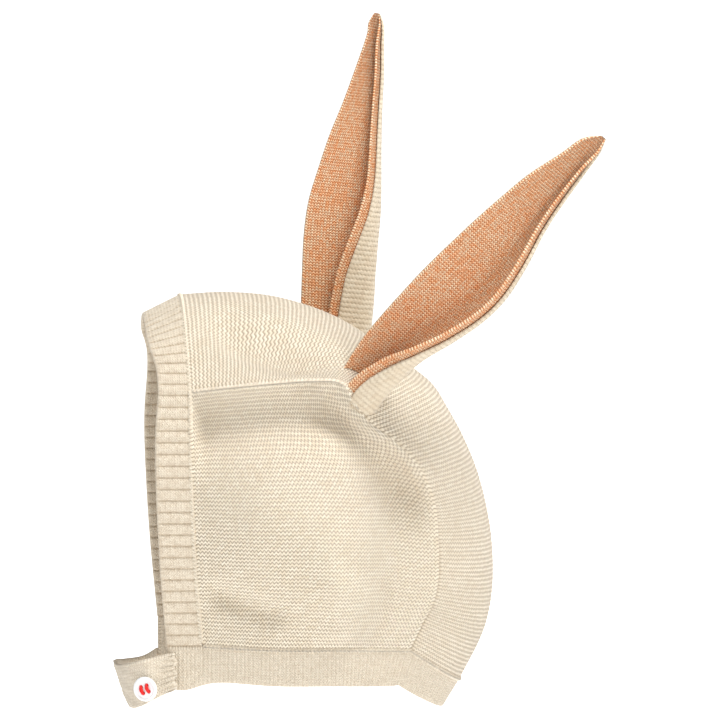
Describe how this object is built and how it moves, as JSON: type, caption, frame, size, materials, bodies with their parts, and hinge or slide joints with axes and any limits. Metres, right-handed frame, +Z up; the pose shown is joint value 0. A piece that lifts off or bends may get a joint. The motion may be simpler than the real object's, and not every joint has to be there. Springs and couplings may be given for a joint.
{
  "type": "knitted baby bonnet with ears",
  "caption": "Cream knitted baby bonnet with long folded ears lined in copper, ribbed face and neck bands, and a chin strap that buttons at the left.",
  "frame": {"origin": "the place inside the top of the crown where the wearer's head rests", "axes": "+Z up, the face opening looks along -Y, +X is the wearer's left"},
  "size_m": [0.1541, 0.2134, 0.3192],
  "materials": {
    "cream_knit": "cotton knit with low ridges",
    "cream_rib": "ribbed cotton knit",
    "copper_lining": "stocking stitch with a metallic thread",
    "white_button": "polished, with a raised rim",
    "red_thread": "sewing thread"
  },
  "bodies": {
    "root": {"crown_strip": "cream_knit", "side_panel_left": "cream_knit", "side_panel_right": "cream_knit", "face_band": "cream_rib", "neck_band": "cream_rib", "chin_strap": "cream_rib", "button_tab": "cream_rib", "ear_shell_left": "cream_knit", "ear_shell_right": "cream_knit", "ear_lining_left": "copper_lining", "ear_lining_right": "copper_lining", "button": "white_button", "button_stitch_front": "red_thread", "button_stitch_back": "red_thread"}
  },
  "joints": []
}
